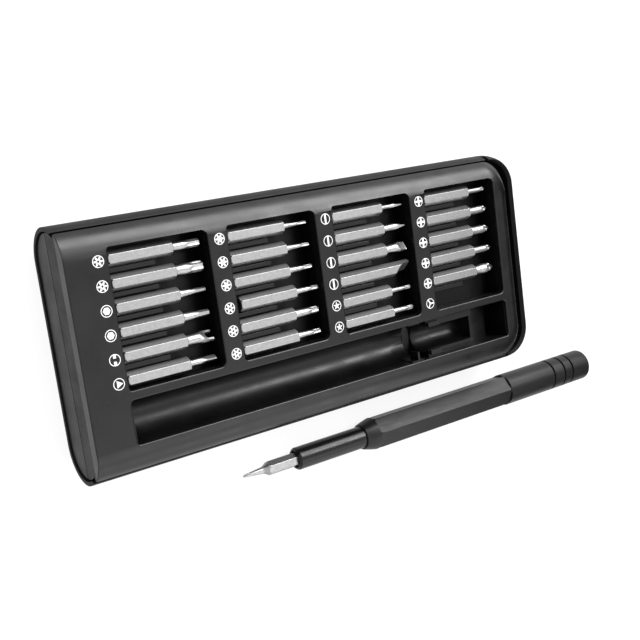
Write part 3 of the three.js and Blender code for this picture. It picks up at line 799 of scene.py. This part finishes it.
def make_print():
    """The ring and sign beside each bit place, one piece for each column of the tray."""
    for column, kinds in enumerate(SYMBOLS):
        points, faces = [], []
        for row, kind in enumerate(kinds):
            cx, cy = RING_X + column * COLUMN_PITCH, FIRST_ROW - row * ROW_PITCH
            shapes = [ringed(cx, cy, lambda a: 1.66, lambda a: 1.43), *symbol(kind, cx, cy)]
            for layer, (more_points, more_faces) in enumerate(shapes):
                start = len(points)
                z = FACE_Z + INK_LIFT * (1 + 0.5 * layer)
                points += [(x, y, z) for x, y in more_points]
                faces += [tuple(start + i for i in face) for face in more_faces]
        mesh = bpy.data.meshes.new("print")
        mesh.from_pydata([Vector(p) * MM for p in points], [], faces)
        finish(linked(f"printed_rings_{column + 1}", mesh), WHITE_INK, "tray")


# ---- bits

# Angles round a bit, closer together at the hexagon's corners and on the diagonals
ANGLES = [math.radians(60 * k + a) for k in range(6)
          for a in (0, 0.7, 2, 8, 15, 22, 30, 38, 45, 52, 58, 59.3)]


def hex_radius(apothem, a):
    sector = math.tau / 6
    return apothem / math.cos((a % sector) - sector / 2)


def polar_rim(radius_at):
    """A rim from its radius at each angle, as a function from angle to (y, z)."""
    def at(a):
        r = radius_at(a)
        return r * math.cos(a), r * math.sin(a)
    return at


def hex_rim(limit):
    """A hexagon with corners at +-Y, its corners rounded off at a limiting radius."""
    return polar_rim(lambda a: min(hex_radius(AF / 2, a), limit))


def round_rim(radius):
    return polar_rim(lambda a: radius)


def slab_rim(half_width, half_thickness):
    """A rectangle across Y and Z."""
    def at(a):
        c, s = math.cos(a), math.sin(a)
        k = 1 / max(abs(c), abs(s))
        return half_width * c * k, half_thickness * s * k
    return at


def blend_rim(first, second, t):
    """A rim part of the way from one to another."""
    def at(a):
        y0, z0 = first(a)
        y1, z1 = second(a)
        return mix(y0, y1, t), mix(z0, z1, t)
    return at


def rolled(rim, degrees):
    """A rim turned about the bit's axis."""
    c, s = math.cos(math.radians(degrees)), math.sin(math.radians(degrees))

    def at(a):
        y, z = rim(a)
        return y * c - z * s, y * s + z * c
    return at


def lobes(size, count, depth):
    """Round lobes with narrow flutes between them."""
    return polar_rim(lambda a: size * (1 - depth * (0.5 - 0.5 * math.cos(count * a)) ** 0.7))


def wings(size, count, web, power, turn=0.0):
    """Straight wings that stand out from a web."""
    def radius(a):
        return size * (web + (1 - web) * abs(math.cos(count * (a - turn) / 2)) ** power)
    return polar_rim(radius)


def hexagon(size):
    return polar_rim(lambda a: hex_radius(size * 0.9, a))


def three_sided(size):
    """A triangle with one edge on top, its corners cut back to the size."""
    third = math.tau / 3
    return polar_rim(lambda a: min(size, 0.64 * size / math.cos(((a + math.pi / 6) % third) - third / 2)))


def along(first, last, steps, make):
    """Stations between two places along the bit, for t from 0 to 1."""
    return [(mix(first, last, k / steps), make(k / steps)) for k in range(steps + 1)]


SHANK_END = 19.1
NECK_START = SHANK_END + 1.0
END = 28.0
CORNER = AC / 2 - 0.014  # the hexagon's corners are broken to this radius
FORK_ROLL = -45
CHISEL_ROLL = 48
BLADE_THICKNESS = 0.34


def rear():
    """Rim stations of the chamfered rear end."""
    return [(0, hex_rim(CORNER - 0.5)), (0.1, hex_rim(CORNER - 0.34)), (0.42, hex_rim(CORNER))]


def straight():
    """Rim stations from the rear end along the hexagon to the start of its shoulder."""
    return rear() + [(SHANK_END, hex_rim(CORNER)), (SHANK_END + 0.16, hex_rim(CORNER - 0.22))]


def shank(neck):
    """Rim stations along the hexagon and over its shoulder to a neck of this radius."""
    stations = straight()
    groove_radius = neck - 0.1
    for k in range(1, 6):
        t = k / 5
        stations.append((SHANK_END + 0.16 + 0.2 * t, hex_rim(mix(CORNER - 0.22, groove_radius, t))))
    stations.append((SHANK_END + 0.55, round_rim(groove_radius)))
    stations.append((SHANK_END + 0.72, round_rim(neck - 0.02)))
    stations.append((SHANK_END + 0.82, round_rim(neck)))
    return stations


def lobed_tip(neck, size, count, depth, length):
    """A six-lobe or star tip, fluted over its last part."""
    start = END - length
    middle = mix(neck, size, 0.7)

    def fluted(t):
        radius = mix(middle, size, min(1, 1.6 * t))
        return blend_rim(round_rim(radius), lobes(radius, count, depth), smoothstep(t / 0.55))
    stations = shank(neck)
    stations += along(NECK_START, start, 6, lambda t: round_rim(mix(neck, middle, smoothstep(t))))
    stations += along(start + 0.15, END - 0.2, 14, fluted)
    stations.append((END - 0.06, lobes(size * 0.96, count, depth)))
    stations.append((END, lobes(size * 0.88, count, depth)))
    return stations


def hexagon_tip(neck, size):
    def squared(t):
        return blend_rim(round_rim(mix(size + 0.22, size + 0.06, t)), hexagon(size + 0.1), t)
    stations = shank(neck)
    stations += along(NECK_START, END - 5.2, 5, lambda t: round_rim(mix(neck, size + 0.22, t ** 0.9)))
    stations += along(END - 5.0, END - 2.6, 8, squared)
    return stations + [(END - 0.15, hexagon(size)), (END, hexagon(size * 0.9))]


def triangle_tip(neck, size):
    def squared(t):
        return blend_rim(round_rim(size), three_sided(size), smoothstep(t))
    stations = shank(neck)
    stations += along(NECK_START, END - 5.2, 4, lambda t: round_rim(mix(neck, size, t)))
    stations += along(END - 5.1, END - 2.6, 6, squared)
    return stations + [(END - 0.12, three_sided(size)), (END, three_sided(size * 0.92))]


def cross_tip(neck, size):
    """A flared head with four flutes, ending in a blunt cone."""
    cone = size * 1.4
    flutes = END - cone - 1.6

    def fluted(t):
        return blend_rim(round_rim(size), wings(size, 4, 0.66, 1.2, 0.4), smoothstep(t))

    def pointed(t):
        return wings(mix(size, 0.22, t), 4, mix(0.66, 0.6, t), 1.2, 0.4)
    stations = shank(neck)
    stations += along(NECK_START, flutes, 6, lambda t: round_rim(mix(neck, size, smoothstep(t))))
    stations += along(flutes + 0.1, END - cone, 7, fluted)
    return stations + along(END - cone + 0.08, END, 7, pointed)


def three_wing_tip(neck, size):
    """A long taper from the hexagon to a thin neck, then three short wings."""
    def taper(t):
        return hex_rim(mix(CORNER - 0.25, neck, 1 - (1 - t) ** 1.6))

    def winged(t):
        return blend_rim(round_rim(size * 1.08), wings(size * 1.05, 3, 0.45, 0.8), t)
    stations = straight() + along(SHANK_END + 0.3, SHANK_END + 2.4, 8, taper)
    stations += along(SHANK_END + 2.7, END - 2.9, 6, lambda t: round_rim(mix(neck * 0.98, size * 1.12, t)))
    stations += along(END - 2.7, END - 1.7, 4, winged)
    return stations + [(END - 0.4, wings(size * 0.8, 3, 0.42, 0.8)), (END, wings(size * 0.5, 3, 0.42, 0.8))]


def flattened(neck, width, start, roll):
    """Rim stations to where a flat tip starts, widening from the neck and rolling as they go."""
    return along(NECK_START, start, 4, lambda t: rolled(round_rim(mix(neck, width, t)), roll * t))


def blade_tip(neck, size, roll):
    """A flat blade, as wide at its end as it is at its root."""
    half = BLADE_THICKNESS / 2

    def part(t):
        width = mix(size * 0.95, size, t)
        flat = slab_rim(width, mix(size * 0.95, half, t ** 0.8))
        return rolled(blend_rim(round_rim(width), flat, smoothstep(t / 0.55)), roll)
    stations = shank(neck) + flattened(neck, size * 0.94, END - 4.4, roll)
    stations += along(END - 4.3, END - 0.5, 12, part)
    stations.append((END - 0.06, rolled(slab_rim(size, half), roll)))
    stations.append((END, rolled(slab_rim(size - 0.05, half - 0.05), roll)))
    return stations


def fork_tip(neck, size):
    """A wide flat tip, which fork_gap then splits into two prongs."""
    root = neck * 1.03

    def part(t):
        width = mix(root, size, t)
        flat = slab_rim(width, mix(neck, 0.42, t ** 0.7))
        return rolled(blend_rim(round_rim(width), flat, smoothstep(t / 0.8)), FORK_ROLL)
    stations = shank(neck) + flattened(neck, root, END - 5.2, FORK_ROLL)
    stations += along(END - 5.1, END - 1.6, 10, part)
    stations.append((END - 0.1, rolled(slab_rim(size, 0.40), FORK_ROLL)))
    stations.append((END, rolled(slab_rim(size - 0.06, 0.34), FORK_ROLL)))
    return stations


def chisel_tip():
    """The hexagon runs on to the end, and chisel_cut then grinds it."""
    return rear() + [(END - 0.1, hex_rim(CORNER)), (END, hex_rim(CORNER - 0.1))]


PLAIN_TIPS = {
    "hexagon": hexagon_tip, "triangle": triangle_tip, "cross": cross_tip, "three_wing": three_wing_tip,
    "fork": fork_tip,
}


def tip_stations(form, neck, size, roll):
    """Rim stations for one form of tip, and the radius of the hole in its end, if any."""
    if form == "lobe":
        return lobed_tip(neck, size, 6, 0.26, 4.4), 0
    if form == "pin_lobe":
        return lobed_tip(neck, size, 6, 0.26, 5.4 if size > 1.1 else 4.2), size * 0.3
    if form == "star":
        return lobed_tip(neck, size, 5, 0.28, 3.8), size * 0.25
    if form == "blade":
        return blade_tip(neck, size, roll), 0
    if form == "chisel":
        return chisel_tip(), 0
    return PLAIN_TIPS[form](neck, size), 0


def bit_rings(stations, hole):
    """Rings along the bit, and down into the hole in its end if it has one."""
    rings = [[(x, *rim(a)) for a in ANGLES] for x, rim in stations]
    if hole:
        for x, r in ((END, hole + 0.06), (END - 0.06, hole), (END - 1.0, hole)):
            rings.append([(x, *round_rim(r)(a)) for a in ANGLES])
    return rings


def turned_section(points, degrees):
    """Points turned about the bit's axis."""
    turn = Matrix.Rotation(math.radians(degrees), 3, "X")
    return [tuple(turn @ Vector(p)) for p in points]


def fork_gap(size):
    """What is cut away between a fork's two prongs: a notch with a rounded floor."""
    half = size * 0.62
    floor = [(END - 2.5 + half * 0.9 * (1 - math.cos(a)), half * math.sin(a))
             for a in (math.radians(-90 + 15 * k) for k in range(13))]
    plan = [(END + CLEAR, -half * 1.15)] + floor + [(END + CLEAR, half * 1.15)]
    return [turned_section([(x, y, z) for x, y in plan], FORK_ROLL) for z in (-3, 3)]


def chisel_cut():
    """What is ground off a chisel: a hollow cut across one side of its end."""
    steps = 14
    profile = [(END - 6.5, 2.7)]
    for k in range(steps + 1):
        t = k / steps
        profile.append((END - 6.2 + 6.2 * t, -0.3 + 2.6 * (1 - t) ** 2.6))
    profile += [(END + 2, -0.4), (END + 2, 4), (END - 6.5, 4)]
    return [turned_section([(x, y, z) for x, z in profile], CHISEL_ROLL) for y in (-4, 4)]


def make_bit(name, place, direction, form, neck, size, roll=0):
    """One bit, its rear at the given place and its tip towards +X (direction 1) or -X (-1)."""
    stations, hole = tip_stations(form, neck, size, roll)

    def placed(rings):
        return [[(place[0] + direction * x, place[1] + y, place[2] + z) for x, y, z in ring]
                for ring in rings]
    bit = lofted(f"{name}_steel", placed(bit_rings(stations, hole)), 22)
    if form == "fork":
        combine(bit, [lofted("gap", placed(fork_gap(size)))], "DIFFERENCE", 22)
    if form == "chisel":
        combine(bit, [lofted("cut", placed(chisel_cut()))], "DIFFERENCE", 22)
    return level(bit)


# Tip form, radius of the neck and of the tip, and the roll of a blade in degrees
BITS = {
    "pin_six_lobe_large": ("pin_lobe", 1.2, 1.2),
    "pin_six_lobe_extra_large": ("pin_lobe", 1.4, 1.6),
    "hexagon_small": ("hexagon", 1.12, 0.6),
    "hexagon_large": ("hexagon", 1.22, 0.84),
    "two_prong": ("fork", 1.4, 1.7),
    "triangle": ("triangle", 0.95, 1.0),
    "six_lobe_1": ("lobe", 0.8, 0.52),
    "six_lobe_2": ("lobe", 0.85, 0.58),
    "six_lobe_3": ("lobe", 0.9, 0.66),
    "pin_six_lobe_1": ("pin_lobe", 0.85, 0.7),
    "pin_six_lobe_2": ("pin_lobe", 1.25, 1.08),
    "pin_six_lobe_3": ("pin_lobe", 1.0, 0.78),
    "slotted_narrow": ("blade", 0.7, 0.7, 90),
    "slotted_medium": ("blade", 0.95, 1.1, 90),
    "slotted_wide": ("blade", 1.1, 1.42, -35),
    "slotted_chisel": ("chisel", 2.25, 2.25),
    "star_small": ("star", 0.8, 0.6),
    "star_large": ("star", 0.9, 0.76),
    "cross_1": ("cross", 0.82, 0.82),
    "cross_2": ("cross", 1.15, 1.25),
    "cross_3": ("cross", 1.3, 1.4),
    "cross_4": ("cross", 1.15, 1.12),
    "cross_5": ("cross", 1.35, 1.7),
}


def make_bits():
    for kind, form in BITS.items():
        node = f"bit_{kind}"
        place = (low(node).x, (low(node).y + high(node).y) / 2, BIT_Z)
        finish(make_bit(node, place, 1, *form), BIT_STEEL, f"bit_in_tray_{kind}", [node])


# ---- driver

HANDLE_R = (high("driver_handle").y - low("driver_handle").y) / 2
SHAFT_R = (high("driver_bit_holder").y - low("driver_bit_holder").y) / 2
MOUTH = low("driver_bit_holder").x
AXIS_Y = (low("driver_handle").y + high("driver_handle").y) / 2
AXIS_Z = HANDLE_R
# Distances along the driver are from the holder's mouth
SOCKET_DEPTH = 9.0
SOCKET_CORNER = (AC + 0.5) / 2
HOLDER_LENGTH = 26.4
CONE_END = 32.6
FLATS = (31.1, 91.2)
APOTHEM = 4.88  # from the axis to a flat
FLATS_ROLL = -39.0
GROOVES = (113.3, 118.8)
GROOVE_WIDTH, GROOVE_DEPTH = 0.7, 0.6
HUB_R = HANDLE_R - 2.4  # inside the gap before the cap
CAP_START = 123.6
CAP_GAP = 0.12
CAP_ROUND = 1.3
BREAK = 0.12  # broken edges
DRIVER_END = high("driver_cap").x - MOUTH


def turned(name, profile, around=128):
    """A turned piece on the driver's axis, from (distance from the mouth, radius) points."""
    angles = [math.tau * i / around for i in range(around)]
    rings = [[(MOUTH + x, AXIS_Y + r * math.cos(a), AXIS_Z + r * math.sin(a)) for a in angles]
             for x, r in profile]
    return lofted(name, rings, 24)


def groove(start):
    """Profile points of a turned groove with broken edges."""
    r, end = HANDLE_R, start + GROOVE_WIDTH
    floor = r - GROOVE_DEPTH
    return [(start - BREAK, r), (start, r - BREAK), (start + 0.05, floor),
            (end - 0.05, floor), (end, r - BREAK), (end + BREAK, r)]


def make_holder():
    r = SHAFT_R
    mouth = [(0, r - 0.62), (0.12, r - 0.5), (0.62, r - 0.06), (0.85, r)]
    holder = turned("bit_holder", mouth + [(12, r), (HOLDER_LENGTH + 0.5, r)])
    socket = turned("socket", [(-CLEAR, SOCKET_CORNER), (SOCKET_DEPTH, SOCKET_CORNER)], 6)
    lead = turned("lead", [(-0.2, 2.95), (0.7, 2.35)], 48)
    combine(holder, [socket, lead], "DIFFERENCE", 24)
    finish(level(holder), HOLDER_BLACK, "driver", ["driver_bit_holder"])


def make_handle():
    """A cone, six flats, a plain round end with two grooves, and a gap before the cap."""
    r = HANDLE_R
    nose, nose_r = HOLDER_LENGTH + 0.15, r - 1.35
    profile = [(HOLDER_LENGTH, SHAFT_R + 0.1), (HOLDER_LENGTH, nose_r - 0.15), (nose, nose_r)]
    steps = 12
    for k in range(1, steps + 1):
        t = k / steps
        profile.append((mix(nose, CONE_END, t), mix(nose_r, r, 1 - (1 - t) ** 1.35)))
    for start in GROOVES:
        profile += groove(start)
    end = CAP_START - 0.55
    profile += [(end - BREAK, r), (end, r - BREAK), (end, HUB_R), (CAP_START, HUB_R)]
    handle = turned("handle", profile)
    half = APOTHEM * math.tan(math.pi / 6)
    plan = outline(*FLATS, -half, half, 1.3, 1.3, 8)
    start = Vector((MOUTH, AXIS_Y, AXIS_Z))
    flats = []
    for k in range(6):
        turn = Matrix.Rotation(math.radians(FLATS_ROLL + 60 * k), 3, "X")
        rings = [[start + turn @ Vector((x, y, z)) for x, y in plan] for z in (APOTHEM, r + CLEAR)]
        flats.append(lofted("flat", rings))
    combine(handle, flats, "DIFFERENCE", 20)
    finish(level(handle), HANDLE_BLACK, "driver", ["driver_handle"])


def make_cap():
    r = HANDLE_R
    start = CAP_START + CAP_GAP
    profile = [(start, 2.6), (start, r - 0.15), (start + 0.15, r)]
    for x, radius in arc(DRIVER_END - CAP_ROUND, r - CAP_ROUND, CAP_ROUND, 90, 0, 12):
        profile.append((x, radius))
    profile.append((DRIVER_END, 1.0))
    finish(level(turned("swivel_cap", profile)), HANDLE_BLACK, "cap", ["driver_cap"])


def make_driver_bit():
    """The bit in the driver, which points the other way from those in the tray."""
    place = (high("bit_three_wing").x, AXIS_Y, AXIS_Z)
    bit = make_bit("bit_three_wing", place, -1, "three_wing", 1.05, 0.62)
    finish(bit, BIT_STEEL, "bit_in_driver", ["bit_three_wing"])


def finish_hidden_parts():
    """The screws, magnets, pin and bush keep their CAD shapes."""
    finishes = {"driver_magnet": MAGNET_METAL, "driver_cap_pin": SCREW_STEEL, "driver_cap_bush": BUSH_PLASTIC}
    for k in range(1, 5):
        finishes[f"tray_screw_{k}"] = SCREW_STEEL
        finishes[f"bit_magnet_{k}"] = MAGNET_METAL
    for node, material in finishes.items():
        coat(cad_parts[node], material)


# ---- camera, floor and light

# Where each soft light stands and its two sides, in metres, and its power in watts
LIGHTS = {
    "key": ((0.52, 0.975, 0.69), (1.2, 0.6), 33),
    "canopy": ((0.45, -0.75, 1.05), (0.9, 0.7), 4.5),
    "lamp": ((0.62, 0.42, 0.87), (0.35, 0.25), 7.5),
    "edge": ((0.59, -0.85, 0.37), (1.2, 0.4), 2.4),
}


def make_camera():
    """The photograph's viewing angle, worked out from its grid of printed rings."""
    data = bpy.data.cameras.new("camera")
    data.sensor_width = 36
    data.lens = 58.3
    camera = linked("camera", data)
    camera.location = Vector((-176.45, 49.25, 277.7)) * MM
    forward = Vector((0.5415, -0.1719, -0.8229)).normalized()
    up = Vector((0.2053, 0.9763, -0.0688))
    up = (up - forward * up.dot(forward)).normalized()
    right = forward.cross(up)
    camera.rotation_mode = "QUATERNION"
    camera.rotation_quaternion = Matrix((right, up, -forward)).transposed().to_quaternion()
    bpy.context.scene.camera = camera


def make_floor():
    """A plain pale floor, with a glow of its own that keeps it white as far as it is seen."""
    mesh = bpy.data.meshes.new("floor")
    reach = 4.0
    corners = [(-reach, -reach, 0), (reach, -reach, 0), (reach, reach, 0), (-reach, reach, 0)]
    mesh.from_pydata(corners, [], [(0, 1, 2, 3)])
    floor = linked("floor", mesh)
    material, tree, principled = shader("floor_white", (0.16, 0.16, 0.16), 0.8, specular=0.1)
    speckle = noise(tree, 900, 2.0)
    tree.links.new(ramp(tree, speckle, [(0.3, 0.155), (0.7, 0.165)]), principled.inputs["Base Color"])
    set_inputs(principled, {"Emission Color": (1, 1, 1, 1), "Emission Strength": 0.82})
    mesh.materials.append(material)


def make_flag():
    """A black card to the right of the set, for its right end to reflect, that no camera sees."""
    flag = block("flag", (300, 304), (-350, 140), (0, 260))
    material, tree, principled = shader("flag_black", (0.01, 0.01, 0.01), 0.9, specular=0.1)
    weave = noise(tree, 700, 2.0)
    tree.links.new(ramp(tree, weave, [(0.3, 0.008), (0.7, 0.012)]), principled.inputs["Base Color"])
    flag.data.materials.append(material)
    flag.visible_camera = False


def soft_light(name, place, sides, power):
    data = bpy.data.lights.new(name, "AREA")
    data.shape = "RECTANGLE"
    data.size, data.size_y = sides
    data.energy = power
    light = linked(name, data)
    light.location = place
    light.rotation_mode = "QUATERNION"
    light.rotation_quaternion = (-Vector(place)).to_track_quat("-Z", "Y")


# ---- the whole scene

make_cover()
make_tray()
make_back()
make_print()
make_bits()
make_holder()
make_handle()
make_cap()
make_driver_bit()
finish_hidden_parts()

make_camera()
make_floor()
make_flag()
for light_name, (light_place, light_sides, light_power) in LIGHTS.items():
    soft_light(light_name, light_place, light_sides, light_power)

world = bpy.data.worlds.new("studio")
world.use_nodes = True
set_inputs(world.node_tree.nodes["Background"], {"Color": (1, 1, 1, 1), "Strength": 1.5})
bpy.context.scene.world = world
bpy.context.scene.view_settings.view_transform = "Standard"
